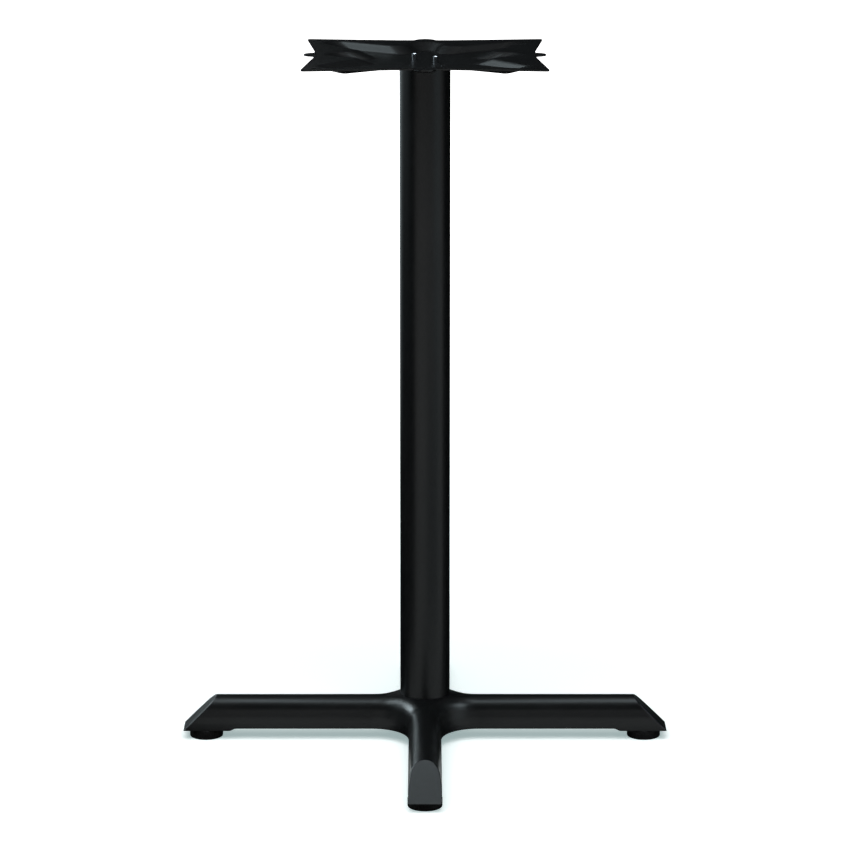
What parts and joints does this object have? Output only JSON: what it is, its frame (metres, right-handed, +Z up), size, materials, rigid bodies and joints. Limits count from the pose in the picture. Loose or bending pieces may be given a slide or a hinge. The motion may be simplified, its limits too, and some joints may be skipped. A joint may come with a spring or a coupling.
{
  "type": "single-column table base",
  "caption": "Standing-height table base: cast cross foot with arched arms, round steel column, stamped square spider for the table top, and screw-down levelling glides.",
  "frame": {"origin": "on the floor, under the column's axis", "axes": "+Z up along the column; X and Y along the arms of the foot; -Y towards the viewer of the picture"},
  "size_m": [0.735, 0.735, 1.044],
  "materials": {
    "coated_casting": "satin",
    "coated_tube": "satin",
    "coated_sheet": "satin",
    "zinc_steel": "satin",
    "moulded_nylon": "matte"
  },
  "bodies": {
    "stand": {"foot_casting": "coated_casting", "column_tube": "coated_tube", "column_cap_plate": "coated_sheet", "spider_plate": "coated_sheet", "tie_rods": "zinc_steel", "rod_washers": "zinc_steel", "rod_spring_washers": "zinc_steel", "rod_nuts": "zinc_steel"},
    "right_glide": {"glide_pad_right": "moulded_nylon", "glide_stud_right": "zinc_steel"},
    "rear_glide": {"glide_pad_rear": "moulded_nylon", "glide_stud_rear": "zinc_steel"},
    "left_glide": {"glide_pad_left": "moulded_nylon", "glide_stud_left": "zinc_steel"},
    "front_glide": {"glide_pad_front": "moulded_nylon", "glide_stud_front": "zinc_steel"}
  },
  "joints": [
    {"name": "right_glide_screw", "type": "slide", "parent": "stand", "child": "right_glide", "axis": [0, 0, -1], "range_m": [0, 0.012]},
    {"name": "rear_glide_screw", "type": "slide", "parent": "stand", "child": "rear_glide", "axis": [0, 0, -1], "range_m": [0, 0.012]},
    {"name": "left_glide_screw", "type": "slide", "parent": "stand", "child": "left_glide", "axis": [0, 0, -1], "range_m": [0, 0.012]},
    {"name": "front_glide_screw", "type": "slide", "parent": "stand", "child": "front_glide", "axis": [0, 0, -1], "range_m": [0, 0.012]}
  ]
}
